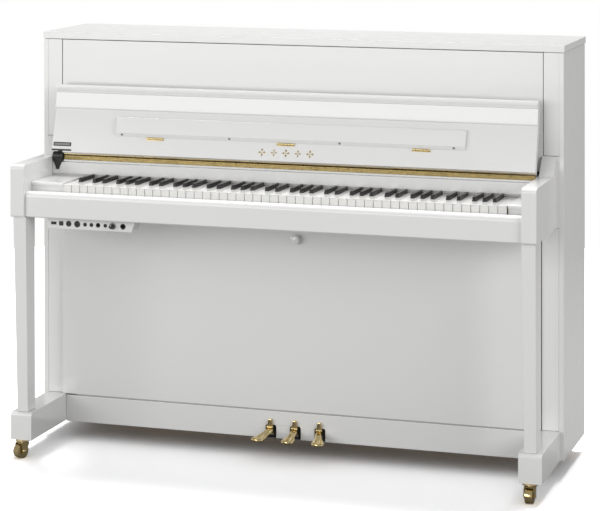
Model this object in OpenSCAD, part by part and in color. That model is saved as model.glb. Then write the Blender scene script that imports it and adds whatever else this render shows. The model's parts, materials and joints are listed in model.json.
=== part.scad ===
// Upright piano in white polish: folding fallboard with a built-in music shelf,
// 88 separate keys, three pedals, a full inner action and a silent-play box.
// Millimetres. Origin at the middle of the footprint on the floor, +Z up, front faces -Y.

/* [Case] */
// Overall width across the lid
case_width = 1490; // [1440:5:1560]
// Overall depth from the arm noses to the back
case_depth = 570; // [550:5:640]
// Overall height to the top of the lid
case_height = 1140; // [1120:5:1220]
// Depth of the tall body behind the arms
body_depth = 305; // [290:5:330]
// Thickness of the top lid
lid_thick = 19; // [15:1:30]
// Thickness of the side boards
side_thick = 13; // [10:1:20]
// Gap between the floor and the side boards
side_gap = 45; // [35:1:60]
// Visible width of the upright stiles
stile_width = 41; // [30:1:55]
// Rear overhang of the lid behind the body
lid_rear = 4; // [2:1:8]

/* [Arms and legs] */
// Thickness of the arms
arm_thick = 39; // [30:1:50]
// Height of the arm tops
arm_top = 800; // [770:5:830]
// Height of the arm undersides
arm_bottom = 658; // [630:2:680]
// Radius of the arm nose at the top
nose_r = 12; // [4:1:25]
// Height where the sloped back of the arm meets the stile
ramp_top = 847; // [820:1:870]
// Leg width at the top
leg_top_w = 36.5; // [28:0.5:45]
// Leg width at the foot
leg_foot_w = 31; // [24:0.5:40]
// Leg depth at the top
leg_top_d = 60; // [45:1:70]
// Leg depth at the foot
leg_foot_d = 50; // [38:1:60]
// Width of the toe blocks
toe_width = 61; // [50:1:75]
// Height of the toe block tops
toe_top = 124; // [115:1:140]
// Height of the toe block undersides
toe_bottom = 49; // [42:1:56]

/* [Keyboard] */
// Width of the 52 naturals together
keys_width = 1227; // [1215:1:1235]
// Shift of the keyboard to the right of the middle
keys_shift = 25; // [0:1:30]
// Height of the natural key tops
key_top = 746; // [735:1:755]
// Thickness of a key stick
key_thick = 22; // [18:1:26]
// Distance from the arm noses back to the key fronts
key_setback = 44.5; // [40:0.5:60]
// Length of the wide head of a natural
head_len = 50; // [45:1:55]
// Height of a sharp over the naturals
sharp_rise = 11.5; // [10:0.5:13]
// Width of a sharp
sharp_w = 10; // [9:0.5:11]
// Gap between neighbouring keys
key_gap = 1.2; // [0.8:0.1:1.6]
// Full length of a key stick
key_len = 330; // [300:2:336]
// Height of the slip in front of the keys
slip_top = 727; // [715:1:735]

/* [Fallboard] */
// Half length of the fallboard
fall_half = 684; // [670:1:685]
// Height of the fallboard pivot
fall_z = 801; // [790:1:810]
// Backward lean of the open fallboard, degrees
fall_lean = 17; // [12:0.5:20]
// Half length of the music shelf
shelf_half = 495; // [400:5:550]
// Thickness of the music shelf
shelf_thick = 8.5; // [7:0.5:10]
// Depth of the music shelf along the board
shelf_len = 53; // [45:1:60]

/* [Pedals and casters] */
// Spacing of the pedals
pedal_pitch = 70; // [60:1:80]
// Shift of the pedals to the right of the middle
pedal_mid = 3.5; // [-10:0.5:10]
// Sideways splay of the outer pedal toes
pedal_splay = 15; // [0:1:20]
// Radius of the front caster wheels
wheel_r = 19; // [14:1:22]
// Width of the front caster wheels
wheel_w = 20; // [16:1:28]
// Swivel of the left caster at rest, degrees
left_yaw = 25; // [0:1:60]
// Radius of the rear caster wheels
rear_r = 21; // [16:1:24]

/* [Hidden] */
$fn = 32;
yb = case_depth / 2;               // back of the piano
yf = -case_depth / 2;              // arm noses
y_body = yb - body_depth;          // front edge of the side boards
y_side = yb - lid_rear;            // back edge of the side boards
side_out = case_width / 2 - 2;
side_in = side_out - side_thick;
stile_in = side_in - stile_width;
lid_bottom = case_height - lid_thick;
arm_out = side_in - 5.5;
arm_in = arm_out - arm_thick;
toe_out = side_out - 9;
toe_in = toe_out - toe_width;
toe_front = yf + 22;
leg_mid = (arm_in + arm_out) / 2 - 3;
bed_top = 694.5;
bed_bottom = arm_bottom + 3;
y_key = yf + key_setback;          // key fronts
y_pin = y_key + 202;               // balance rail
keys_x = keys_shift - keys_width / 2;
nat = keys_width / 52;             // natural pitch
panel_y = y_body + 2;              // front of the upper panel
low_y = y_body - 9;                // front of the lower panel
fall_y = y_body - 67;              // fallboard pivot
name_y = fall_y - 6;               // front of the name board
low_in = stile_in - 5;             // edge of the lower stiles
plinth_y = y_body - 5;
plinth_top = toe_top - 4;
plinth_low = 46;
board_y = 150;                     // front of the soundboard
plate_y = 128;                     // front of the iron plate
string_y = 117;                    // plane of the treble strings
bass_notes = 26;                   // notes on the overstrung bass
act_x0 = keys_x - 9;                // ends of the action
act_x1 = keys_x + keys_width + 9;
act_cuts = [act_x0, keys_x + keys_width * 0.34, keys_x + keys_width * 0.67, act_x1];

natural_slot = [0, -1, 1, -1, 2, 3, -1, 4, -1, 5, -1, 6];
sharp_shift = [0, -2.6, 0, 2.6, 0, 0, -3.6, 0, 0, 0, 3.6, 0];

// the open fallboard: s runs up the board from the pivot, e toward the player
fall_thick = 20;
fdir = [sin(fall_lean), cos(fall_lean)];
fnor = [-cos(fall_lean), sin(fall_lean)];
shelf_s = 54.6;                    // shelf pivot along the board
shelf_e = fall_thick + 3;          // shelf pivot off the outer face

// ---- helpers ----

// block between two corners
module slab(x0, x1, y0, y1, z0, z1)
    translate([x0, y0, z0]) cube([x1 - x0, y1 - y0, z1 - z0]);

// [y, z] outline drawn out along x
module along_x(pts, x0, x1)
    translate([x0, 0, 0]) rotate([90, 0, 90]) linear_extrude(x1 - x0) polygon(pts);

// [x, z] outline drawn out along y
module along_y(pts, y0, y1)
    translate([0, y1, 0]) rotate([90, 0, 0]) linear_extrude(y1 - y0) polygon(pts);

// [x, y] outline drawn out along z
module along_z(pts, z0, z1)
    translate([0, 0, z0]) linear_extrude(z1 - z0) polygon(pts);

module both_sides() {
    children();
    mirror([1, 0, 0]) children();
}

module rod_x(x0, x1, y, z, r)
    translate([x0, y, z]) rotate([0, 90, 0]) cylinder(h = x1 - x0, r = r);

module rod_y(x, y0, y1, z, r)
    translate([x, y1, z]) rotate([90, 0, 0]) cylinder(h = y1 - y0, r = r);

function arc(c, r, a0, a1, n = 6) =
    [for (i = [0:n]) c + r * [cos(a0 + (a1 - a0) * i / n), sin(a0 + (a1 - a0) * i / n)]];

// [y, z] of a point s up the open fallboard and e off its outer face
function on_fall(s, e) = [fall_y, fall_z] + s * fdir + e * fnor;
function fall_arc(s, e, r, a0, a1, n = 4) =
    [for (p = arc([s, e], r, a0, a1, n)) on_fall(p[0], p[1])];

// ---- case ----

module side_board(s)
    slab(s > 0 ? side_in : -side_out, s > 0 ? side_out : -side_in,
        y_body, y_side, side_gap, lid_bottom - 1);

module side_left() color("white") side_board(-1);
module side_right() color("white") side_board(1);

module stiles() color("white") both_sides() {
    slab(stile_in, side_in, y_body + 0.5, y_body + 24, ramp_top + 1, lid_bottom - 1);
    slab(stile_in, side_in, y_body + 0.5, y_body + 24, arm_bottom, ramp_top);
    slab(low_in, side_in, y_body + 0.5, y_body + 24, toe_top + 0.5, arm_bottom - 0.6);
}

arm_outline = concat(
    arc([yf + nose_r, arm_top - nose_r], nose_r, 180, 90),
    [[y_body - 46, arm_top], [y_body, ramp_top], [y_body, arm_bottom]],
    arc([yf + 6, arm_bottom + 6], 6, 270, 180, 4));

module arm_left() color("white") along_x(arm_outline, -arm_out, -arm_in);
module arm_right() color("white") along_x(arm_outline, arm_in, arm_out);

module leg(s) {
    wt = leg_top_w / 2;
    wf = leg_foot_w / 2;
    yt = yf + 10;
    yl = yf + 30;
    z0 = toe_top + 0.4;
    z1 = arm_bottom - 0.5;
    intersection() {
        along_y([[s * leg_mid - wf, z0], [s * leg_mid + wf, z0],
            [s * leg_mid + wt, z1], [s * leg_mid - wt, z1]], yf, yf + 150);
        along_x([[yl, z0], [yl + leg_foot_d, z0], [yt + leg_top_d, z1], [yt, z1]],
            s * leg_mid - 40, s * leg_mid + 40);
    }
}

module leg_left() color("white") leg(-1);
module leg_right() color("white") leg(1);

module toe_blocks() color("white") both_sides() {
    nose = concat(arc([toe_front + 10, toe_top - 10], 10, 180, 90),
        [[y_body - 0.5, toe_top], [y_body - 0.5, toe_bottom], [toe_front, toe_bottom]]);
    along_x(nose, toe_in, toe_out);
    slab(toe_in, side_in - 0.5, y_body - 0.5, 110, toe_bottom, toe_top);
}

module top_lid() color("white")
    slab(-case_width / 2, case_width / 2, y_body - 1, yb, lid_bottom, case_height);

module upper_panel() color("white") {
    slab(-stile_in + 1.5, stile_in - 1.5, panel_y, panel_y + 18, fall_z + 4, lid_bottom - 2);
}

module lower_panel() color("white") {
    slab(-low_in + 1.5, low_in - 1.5, low_y, low_y + 18, plinth_top + 4.5, bed_bottom - 4);
    // battens on the inner face
    for (x = [-430, 0, 430])
        slab(x - 30, x + 30, low_y + 18, low_y + 30, plinth_top + 40, bed_bottom - 60);
}

module panel_knob() color("whitesmoke")
    translate([9, low_y, 595]) rotate([90, 0, 0]) rotate_extrude()
        polygon(concat([[0, 0.3], [8, 0.3], [8, 7], [6.5, 9]],
            arc([6.5, 15.5], 7, -60, 80, 6), [[0, 23.2]]));

module pedal_rail() color("white") difference() {
    slab(-toe_in + 0.6, toe_in - 0.6, plinth_y, plinth_y + 20, plinth_low, plinth_top);
    for (i = [-1, 0, 1]) {
        x = pedal_mid + i * pedal_pitch;
        along_y(concat([[x - 15, plinth_low - 5], [x + 15, plinth_low - 5]],
            arc([x + 10, plinth_low + 31], 5, 0, 90, 4),
            arc([x - 10, plinth_low + 31], 5, 90, 180, 4)), plinth_y - 5, plinth_y + 25);
    }
}

module bottom_board() color("burlywood")
    slab(-toe_in + 1, toe_in - 1, plinth_y + 20.5, 160, 88, 106);

module keybed() color("white")
    slab(-low_in + 1, low_in - 1, yf + 34.5, 96, bed_bottom, bed_top);

module key_slip() color("white") {
    y0 = yf + 9;
    along_x(concat(arc([y0 + 14, slip_top - 14], 14, 180, 90, 8),
        arc([y0 + 22, slip_top - 3], 3, 90, 0, 3),
        [[y0 + 25, arm_bottom], [y0 + 3, arm_bottom], [y0, arm_bottom + 3]]),
        -arm_in + 0.6, arm_in - 0.6);
}

module key_blocks() color("white") {
    block = concat([[y_key + 9, bed_top + 0.5], [y_key + 9, key_top - 6],
        [y_key + 4, key_top - 6]],
        arc([y_key + 8, key_top - 1], 4, 180, 90, 4),
        [[name_y + 20, key_top + 3], [name_y + 20, bed_top + 0.5]]);
    along_x(block, -arm_in + 0.6, keys_x - 2);
    along_x(block, keys_x + keys_width + 2, arm_in - 0.6);
}

module name_board() color("white") {
    nz = fall_z - 16;               // top of the name board proper
    nb = key_top + 5.5;             // its lower edge over the keys
    along_x(concat([[name_y + 58, nz], [name_y, nz]], arc([name_y + 4, nb + 4], 4, 180, 270, 4),
        [[name_y + 20, nb], [name_y + 20, nz - 14], [name_y + 58, nz - 14]]),
        -arm_in + 1, arm_in - 1);
    // rail that carries the fallboard hinge, with a small bead over a groove
    along_x([[fall_y + 50, nz], [fall_y + 50, fall_z - 2.2], [fall_y - 1.2, fall_z - 2.2],
        [fall_y - 1.2, nz + 6.5], [name_y + 0.5, nz + 6.5], [name_y + 0.5, nz + 2],
        [fall_y + 1, nz + 2], [fall_y + 1, nz]], -arm_in + 34, arm_in - 1);
}

// ---- fallboard ----

module fallboard() color("white") difference() {
    along_x(concat([on_fall(4.4, 0)], fall_arc(188, 8, 8, -90, 0),
        fall_arc(184, 28, 12, 10, 100), fall_arc(177, 31, 4, 100, 175),
        [on_fall(134, 26)], fall_arc(133.5, 23, 3, 100, 180),
        [on_fall(130.5, fall_thick), on_fall(8, fall_thick)]),
        -fall_half, fall_half);
    // room for the damper
    along_x([on_fall(-2, -2), on_fall(15, -2), on_fall(15, 22), on_fall(-2, 22)],
        -fall_half - 1, -arm_in + 35);
}

// brass leaf and pin fixed to the rail
module fall_hinge_fixed() color("gold") {
    slab(-arm_in + 34, fall_half - 2, fall_y - 2.6, fall_y - 1.2, fall_z - 9.3, fall_z - 0.2);
    rod_x(-arm_in + 34, fall_half - 2, fall_y - 1, fall_z, 1.6);
}

// brass leaf fixed to the end of the fallboard
module fall_hinge_moving() color("gold")
    along_x([on_fall(4.7, 3), on_fall(5.5, 7.8), on_fall(4.4, 7.8), on_fall(3.6, 3)],
        -arm_in + 36, fall_half - 2);

module music_shelf() color("white") {
    e0 = fall_thick + 0.6;
    e1 = e0 + shelf_thick;
    s0 = shelf_s + 3.2;
    s1 = shelf_s + 3.2 + shelf_len;
    along_x(concat([on_fall(s0, e0), on_fall(s1, e0)], fall_arc(s1 - 3, e1 - 3, 3, 0, 90),
        [on_fall(s0 + 9, e1), on_fall(s0, e0 + 1)]), -shelf_half, shelf_half);
}

module shelf_hinges() color("gold")
    for (x = [-380, -2, 375]) {
        p = on_fall(shelf_s, shelf_e);
        rod_x(x - 25, x + 25, p[0], p[1], 2.2);
        along_x([on_fall(shelf_s - 5, fall_thick), on_fall(shelf_s, fall_thick),
            on_fall(shelf_s, fall_thick + 2), on_fall(shelf_s - 5, fall_thick + 1.2)],
            x - 25, x + 25);
    }

// soft-fall damper: barrel on the hinge line with a foot down the name board
module damper_arm() color([0.1, 0.1, 0.1]) {
    rod_x(-arm_in + 1.5, -arm_in + 32, fall_y, fall_z, 12);
    intersection() {
        along_x([[fall_y - 11, fall_z], [fall_y - 10, fall_z - 36], [name_y - 0.2, fall_z - 36],
            [name_y - 0.2, fall_z - 15.6], [fall_y + 6, fall_z - 15.6], [fall_y + 6, fall_z]],
            -arm_in + 1.5, -arm_in + 32);
        along_y([[-arm_in + 1.5, fall_z], [-arm_in + 32, fall_z], [-arm_in + 31, fall_z - 12],
            [-arm_in + 21, fall_z - 36], [-arm_in + 10, fall_z - 36], [-arm_in + 2, fall_z - 12]],
            fall_y - 20, fall_y + 10);
    }
}

module lid_hinge() color("gold") {
    rod_x(-side_in, side_in, y_side + 2, lid_bottom - 2.1, 1.8);
    slab(-side_in + 4, side_in - 4, y_side - 1, y_side + 1, lid_bottom - 24, lid_bottom - 2);
}

// ---- back ----

module back_frame() color("tan") {
    y0 = board_y + 30;
    for (i = [-2:2])
        slab(i * 300 - 28, i * 300 + 28, y0, y_side - 1, 190.5, lid_bottom - 122.5);
    // top beam, pin block and bottom beam
    slab(-side_in + 1, side_in - 1, y0, y_side - 1, lid_bottom - 122, lid_bottom - 4);
    slab(-664, 664, plate_y + 13, y0 - 1, lid_bottom - 118, lid_bottom - 14);
    slab(-side_in + 1, side_in - 1, y0, y_side - 1, side_gap + 5, 190);
    both_sides() slab(664.5, side_in - 1, y0, y_side - 1, 190.5, lid_bottom - 122.5);
}

module soundboard() color("wheat") {
    slab(-662, 662, board_y, board_y + 8, 112, lid_bottom - 122);
    // ribs on the back, cut to the board
    intersection() {
        slab(-640, 640, board_y + 8, board_y + 27, 130, lid_bottom - 135);
        union() for (i = [-4:5])
            translate([i * 165, board_y + 8, 560]) rotate([0, 42, 0])
                translate([-900, 0, -12]) cube([1800, 19, 24]);
    }
}

module iron_plate() color("darkgoldenrod") {
    difference() {
        along_y([[-652, 120], [652, 120], [652, lid_bottom - 16], [-652, lid_bottom - 16]],
            plate_y, plate_y + 12);
        along_y([[-560, 300], [-250, 200], [-40, 200], [-40, 950], [-560, 950]],
            plate_y - 1, plate_y + 13);
        along_y([[-5, 230], [250, 330], [250, 950], [-5, 950]],
            plate_y - 1, plate_y + 13);
        along_y([[285, 360], [560, 620], [560, 950], [285, 950]],
            plate_y - 1, plate_y + 13);
    }
    // struts and the pressure bar
    for (x = [-22, 268]) slab(x - 9, x + 9, plate_y - 7, plate_y - 0.4, 180, 960);
    slab(-620, 620, plate_y - 8, plate_y - 0.4, 976, 990);
}

// one straight wire between [x, z] ends in the plane y
module wire(a, b, y, r) {
    d = b - a;
    translate([a[0], y, a[1]]) rotate([0, atan2(d[0], d[1]), 0])
        cylinder(h = norm(d), r = r, $fn = 6);
}

module strings() color("silver") {
    // treble and tenor
    for (i = [0:51]) {
        x = -205 + i * 15.6;
        u = i / 51;
        zb = 262 + 640 * pow(u, 1.45);
        if (abs(x + 22 - 24 * (1 - u)) > 8)
            wire([x - 70 * (1 - u), zb], [x, 1030], string_y, 0.9);
    }
    // bass, crossing over
    for (i = [0:bass_notes - 1])
        wire([-420 + i * 25, 190 + i * 3], [-600 + i * 15, 1030], string_y - 9, 1.5);
    // tuning pins
    for (i = [0:76], j = [0, 1])
        translate([-605 + i * 15.6, plate_y - 0.5, 1046 + j * 26 + (i % 2) * 9])
            rotate([90, 0, 0]) cylinder(h = 17, r = 2.8, $fn = 8);
}

// ---- action ----

module action_frame() color("silver") {
    for (x = act_cuts) {
        foot = x == act_x0 || x == act_x1 ? bed_top + 0.2 : 764;
        along_x([[12, foot], [24, foot], [24, 830], [92, 842], [92, 896], [78, 896], [78, 872],
            [34, 880], [24, 900], [22, 1040], [12, 1040]], x - 3, x + 3);
    }
    slab(act_x0, act_x1, 26, 74, 846, 868);
    slab(act_x0, act_x1, 79, 91, 878, 894);
}

function note_x(i) = keys_x + (i + 0.5) * keys_width / 88;
function clear_of_frame(x) = min([for (c = act_cuts) abs(x - c)]) > 8;

module wippens() color("burlywood")
    for (i = [0:87]) if (clear_of_frame(note_x(i)))
        along_x([[30, 775], [72, 775], [72, 786], [52, 800], [52, 832], [44, 832],
            [44, 800], [30, 790]], note_x(i) - 4, note_x(i) + 4);

module hammers() color("ivory")
    for (i = [0:87])
        along_x([[38.5, 884], [43, 884], [43, 996], [56, 1000], [68, 1010], [68, 1014],
            [56, 1024], [44, 1027], [37, 1024], [38.5, 1002]], note_x(i) - 4.4, note_x(i) + 4.4);

module hammer_rail() color("sienna")
    slab(act_x0 + 8, act_x1 - 8, 27, 38.5, 950, 974);

module dampers() color("dimgray")
    for (i = [0:65]) if (clear_of_frame(note_x(i))) {
        reach = i < bass_notes + 6 ? string_y - 10.8 : string_y - 1.2;
        along_x([[86, 900], [90, 900], [90, 946], [reach, 946], [reach, 974], [92, 974],
            [86, 960]], note_x(i) - 4, note_x(i) + 4);
    }

module mute_rail() color("seagreen")
    slab(act_x0 + 14, act_x1 - 14, 94, 98, 1034, 1064);

module key_frame() color("burlywood") {
    x0 = keys_x - 1;
    x1 = keys_x + keys_width + 1;
    zr = key_top - key_thick - 1.6;
    slab(x0, x1, y_key + 12, y_key + 42, bed_top + 0.4, zr - 14.4);
    slab(x0, x1, y_pin - 14, y_pin + 14, bed_top + 0.4, zr);
    slab(x0, x1, y_key + key_len - 30, y_key + key_len - 5, bed_top + 0.4, zr);
}

// ---- pedals ----

// toe outline with two soft lobes, drawn toward -y from the neck
function toe_outline(cx, y0) = concat(
    [[-9.5, y0 + 76], [cx * 0.12 - 9.5, y0 + 64], [cx * 0.7 - 9.5, y0 + 38], [cx - 11, y0 + 24]],
    arc([cx - 8.5, y0 + 9], 9, 165, 285, 6),
    [[cx, y0 + 3.2]],
    arc([cx + 8.5, y0 + 9], 9, 255, 375, 6),
    [[cx + 11, y0 + 24], [cx * 0.7 + 9.5, y0 + 38], [cx * 0.12 + 9.5, y0 + 64], [9.5, y0 + 76]]);

module pedal(i) {
    y0 = yf + 180;                  // front of the toe
    yt = plinth_y - 1;              // back of the tongue
    translate([pedal_mid + i * pedal_pitch, 0, 0]) {
        // toe and neck, sweeping up from the toe to the tongue
        intersection() {
            along_z(toe_outline(i * pedal_splay, y0), 40, 100);
            along_x([[y0 - 2, 53], [y0 + 24, 54], [y0 + 48, 56], [yt - 1, 60], [yt - 1, 80],
                [y0 + 60, 74], [y0 + 40, 68], [y0 + 20, 64], [y0 - 2, 62]], -40, 40);
        }
        // upright tongue with a dished front
        difference() {
            along_y(concat([[-9, 60], [9, 60]], arc([0, 95], 5.8, 0, 180, 10)), yt - 8, yt);
            along_y(concat([[-6, 80], [6, 80]], arc([0, 94], 3.8, 0, 180, 8)), yt - 9, yt - 5);
        }
        // bar through the rail to the pivot
        slab(-7, 7, yt - 1, 52, 60, 72);
        rod_x(-7, 7, 50, 66, 8);
    }
}

module pedal_left() color("gold") pedal(-1);
module pedal_middle() color("gold") pedal(0);
module pedal_right() color("gold") pedal(1);

module pedal_bracket() color("dimgray") {
    for (i = [-1, 0, 1], s = [-1, 1])
        translate([pedal_mid + i * pedal_pitch, 0, 0])
            slab(s > 0 ? 9.5 : -14.5, s > 0 ? 14.5 : -9.5, 36, 64, 58, 88);
}

// ---- silent-play box ----

// [x, radius] of the round sockets, left to right
sockets = [[-570, 8], [-545, 9], [-522, 5.5], [-503.5, 5.5], [-484, 6.5], [-463, 5.2], [-412, 8]];
box_z = 641;
knob_x = -442;

module control_box() color("white") {
    yx = yf + 39;
    difference() {
        along_y([[-632, bed_bottom - 34], [-388, bed_bottom - 34], [-374, bed_bottom - 0.4],
            [-632, bed_bottom - 0.4]], yx, yx + 50);
        for (s = sockets) rod_y(s[0], yx - 1, yx + 3, box_z, s[1]);
        for (x = [-484, -412]) rod_y(x, yx - 1, yx + 30, box_z, 3.2);
        slab(-622, -606, yx - 1, yx + 8, box_z - 4, box_z + 4);
        slab(-598.5, -585.5, yx - 1, yx + 8, box_z - 6, box_z + 6);
        rod_y(knob_x, yx - 1, yx + 12, box_z, 4);
    }
}

module volume_knob() color([0.1, 0.1, 0.1]) {
    yx = yf + 39;
    rod_y(knob_x, yx - 14, yx - 0.6, box_z, 6.5);
    rod_y(knob_x, yx - 1, yx + 10, box_z, 3.4);
}

// ---- casters ----

// front caster: stem at the origin, wheel ahead of it
module fork() {
    translate([0, 0, toe_bottom - 3.4]) cylinder(h = 3, r = 21);
    translate([0, 0, wheel_r * 2 + 2.4]) cylinder(h = toe_bottom - wheel_r * 2 - 5.4, r = 10);
    difference() {
        union() {
            slab(-wheel_w / 2 - 4.5, wheel_w / 2 + 4.5, -14, 9, wheel_r * 2 + 0.8,
                wheel_r * 2 + 3.6);
            for (s = [-1, 1])
                along_x([[-16, wheel_r - 6], [-4, wheel_r - 6], [9, wheel_r * 2 + 1],
                    [9, wheel_r * 2 + 3.6], [-14, wheel_r * 2 + 3.6], [-17, wheel_r * 2]],
                    s > 0 ? wheel_w / 2 + 1.5 : -wheel_w / 2 - 4.5,
                    s > 0 ? wheel_w / 2 + 4.5 : -wheel_w / 2 - 1.5);
        }
        rod_x(-30, 30, -9, wheel_r, 3.4);
    }
}

module front_wheel() {
    rod_x(-wheel_w / 2, wheel_w / 2, -9, wheel_r, wheel_r);
    rod_x(-wheel_w / 2 - 6, wheel_w / 2 + 6, -9, wheel_r, 3);
}

caster_y = toe_front + 13;
module at_caster(s)
    translate([s * leg_mid, caster_y, 0]) rotate([0, 0, s < 0 ? -left_yaw : 0]) children();

module caster_fork_left() color("gold") at_caster(-1) fork();
module caster_fork_right() color("gold") at_caster(1) fork();
module caster_wheel_left() color("gold") at_caster(-1) front_wheel();
module caster_wheel_right() color("gold") at_caster(1) front_wheel();

rear_x = 590;
rear_y = 232;

module rear_caster_frames() color("dimgray")
    for (s = [-1, 1]) translate([s * rear_x, rear_y, 0]) {
        slab(-26, 26, -24, 24, side_gap + 1, side_gap + 4.6);
        for (t = [-1, 1]) difference() {
            along_x([[-10, rear_r - 8], [10, rear_r - 8], [20, side_gap + 1],
                [-20, side_gap + 1]], t > 0 ? 13 : -16, t > 0 ? 16 : -13);
            rod_x(-30, 30, 0, rear_r, 4.4);
        }
    }

module rear_wheels() color("dimgray")
    for (s = [-1, 1]) translate([s * rear_x, rear_y, 0]) {
        rod_x(-11.5, 11.5, 0, rear_r, rear_r);
        rod_x(-18, 18, 0, rear_r, 4);
    }

// ---- keys ----

function white_index(n) = 7 * floor((n + 9) / 12) + natural_slot[(n + 9) % 12] - 5;
function sharp_x(n) = keys_x + (white_index(n - 1) + 1) * nat + sharp_shift[(n + 9) % 12];
function is_sharp(n) = natural_slot[(n + 9) % 12] < 0;

module natural_key(n) {
    xl = keys_x + white_index(n) * nat + key_gap / 2;
    xr = xl + nat - key_gap;
    cut_l = n > 0 && is_sharp(n - 1);
    cut_r = n < 87 && is_sharp(n + 1);
    tl = cut_l ? sharp_x(n - 1) + sharp_w / 2 + key_gap : xl;
    tr = cut_r ? sharp_x(n + 1) - sharp_w / 2 - key_gap : xr;
    yh = y_key + head_len;
    along_z(concat([[xl, y_key], [xr, y_key]],
        cut_r ? [[xr, yh], [tr, yh]] : [],
        [[tr, y_key + key_len], [tl, y_key + key_len]],
        cut_l ? [[tl, yh], [xl, yh]] : []), key_top - key_thick, key_top);
}

module sharp_key(n) {
    x = sharp_x(n);
    h = sharp_w / 2;
    y0 = y_key + head_len + 1.4;
    zt = key_top + sharp_rise;
    zb = key_top - key_thick;
    intersection() {
        along_x([[y0, zb], [y0, key_top - 2], [y0 + 5, zt - 1.6], [y0 + 8, zt],
            [name_y - 3, zt], [name_y - 3, key_top - 2], [y_key + key_len, key_top - 2],
            [y_key + key_len, zb]], x - h, x + h);
        along_y([[x - h, zb], [x + h, zb], [x + h, key_top - 2], [x + h - 0.9, zt + 0.1],
            [x - h + 0.9, zt + 0.1], [x - h, key_top - 2]], y0 - 1, y_key + key_len + 1);
    }
}

// every key that sounds one note name
module keys_of(pc)
    for (n = [0:87]) if ((n + 9) % 12 == pc) {
        if (is_sharp(n)) sharp_key(n); else natural_key(n);
    }

module keys_c() color("ivory") keys_of(0);
module keys_c_sharp() color([0.1, 0.1, 0.1]) keys_of(1);
module keys_d() color("ivory") keys_of(2);
module keys_d_sharp() color([0.1, 0.1, 0.1]) keys_of(3);
module keys_e() color("ivory") keys_of(4);
module keys_f() color("ivory") keys_of(5);
module keys_f_sharp() color([0.1, 0.1, 0.1]) keys_of(6);
module keys_g() color("ivory") keys_of(7);
module keys_g_sharp() color([0.1, 0.1, 0.1]) keys_of(8);
module keys_a() color("ivory") keys_of(9);
module keys_a_sharp() color([0.1, 0.1, 0.1]) keys_of(10);
module keys_b() color("ivory") keys_of(11);

side_left();
side_right();
stiles();
arm_left();
arm_right();
leg_left();
leg_right();
toe_blocks();
top_lid();
upper_panel();
lower_panel();
pedal_rail();
bottom_board();
keybed();
key_slip();
key_blocks();
name_board();
fallboard();
fall_hinge_fixed();
fall_hinge_moving();
music_shelf();
shelf_hinges();
damper_arm();
lid_hinge();
back_frame();
soundboard();
iron_plate();
strings();
action_frame();
wippens();
hammers();
hammer_rail();
dampers();
mute_rail();
key_frame();
pedal_left();
pedal_middle();
pedal_right();
pedal_bracket();
control_box();
volume_knob();
panel_knob();
caster_fork_left();
caster_fork_right();
caster_wheel_left();
caster_wheel_right();
rear_caster_frames();
rear_wheels();
keys_c();
keys_c_sharp();
keys_d();
keys_d_sharp();
keys_e();
keys_f();
keys_f_sharp();
keys_g();
keys_g_sharp();
keys_a();
keys_a_sharp();
keys_b();
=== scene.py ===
import json
import math

import bmesh
import bpy
from bpy.props import FloatProperty, FloatVectorProperty, PointerProperty
from mathutils import Matrix, Vector


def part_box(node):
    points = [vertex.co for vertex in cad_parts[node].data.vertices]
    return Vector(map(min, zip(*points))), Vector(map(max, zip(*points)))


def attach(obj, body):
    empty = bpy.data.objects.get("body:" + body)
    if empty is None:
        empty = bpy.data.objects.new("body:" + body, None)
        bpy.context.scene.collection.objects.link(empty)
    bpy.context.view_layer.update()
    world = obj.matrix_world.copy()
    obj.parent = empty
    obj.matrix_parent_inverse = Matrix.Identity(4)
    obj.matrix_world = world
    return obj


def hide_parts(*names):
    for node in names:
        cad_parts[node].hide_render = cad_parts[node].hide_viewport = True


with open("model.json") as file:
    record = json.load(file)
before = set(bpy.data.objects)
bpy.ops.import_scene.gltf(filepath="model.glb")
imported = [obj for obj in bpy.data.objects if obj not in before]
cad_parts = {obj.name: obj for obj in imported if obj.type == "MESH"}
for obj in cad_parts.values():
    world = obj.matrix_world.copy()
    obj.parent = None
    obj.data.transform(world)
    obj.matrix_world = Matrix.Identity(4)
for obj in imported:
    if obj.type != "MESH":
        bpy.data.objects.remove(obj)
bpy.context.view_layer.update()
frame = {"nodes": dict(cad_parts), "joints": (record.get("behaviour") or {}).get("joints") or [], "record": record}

bl_info = {
    "name": "White upright piano",
    "version": (1, 0, 0),
    "blender": (4, 5, 0),
    "location": "View3D > Sidebar > Piano",
    "description": "Dresses the packed piano: polish, keys, brasswork, headphone box and studio",
    "category": "Object",
}

NODES = frame["nodes"]
JOINTS = {j["name"]: j for j in frame["joints"]}
MM = 0.001
BOARD_LEAN = math.radians(17)          # how far the open fallboard leans back
SHELF_FOOT = (57.8 * MM, 20.6 * MM)    # the folded shelf's lower corner: up the board, off its pivot plane
BOARD_FACE = 20 * MM                   # the fallboard's inner face, off its pivot plane
SOCKET_HEIGHT = 641 * MM               # the row of sockets on the headphone box
KEY_COUNT, WHITE_COUNT = 88, 52        # from a to c, so key 0 is an a
STICK_GAP = 1.2 * MM                   # between the wooden sticks of neighbouring keys
HEAD_LONG = 50 * MM                    # a white key's full-width head, in front of the sharps
TOP_LONG = 152 * MM                    # the moulded top of a white key, back under the name board
SHARP_WIDE = 10 * MM
SHARP_SHIFT = {"c_sharp": -2.6, "d_sharp": 2.6, "f_sharp": -3.6, "g_sharp": 0.0, "a_sharp": 3.6}

WHITE_PARTS = ["side_left", "side_right", "stiles", "arm_left", "arm_right", "leg_left", "leg_right",
               "toe_blocks", "top_lid", "upper_panel", "lower_panel", "pedal_rail", "keybed",
               "key_slip", "key_blocks", "name_board", "fallboard", "music_shelf"]
NOTE_NAMES = ["c", "c_sharp", "d", "d_sharp", "e", "f", "f_sharp", "g", "g_sharp", "a", "a_sharp", "b"]


# ---------------------------------------------------------------- settings

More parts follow.
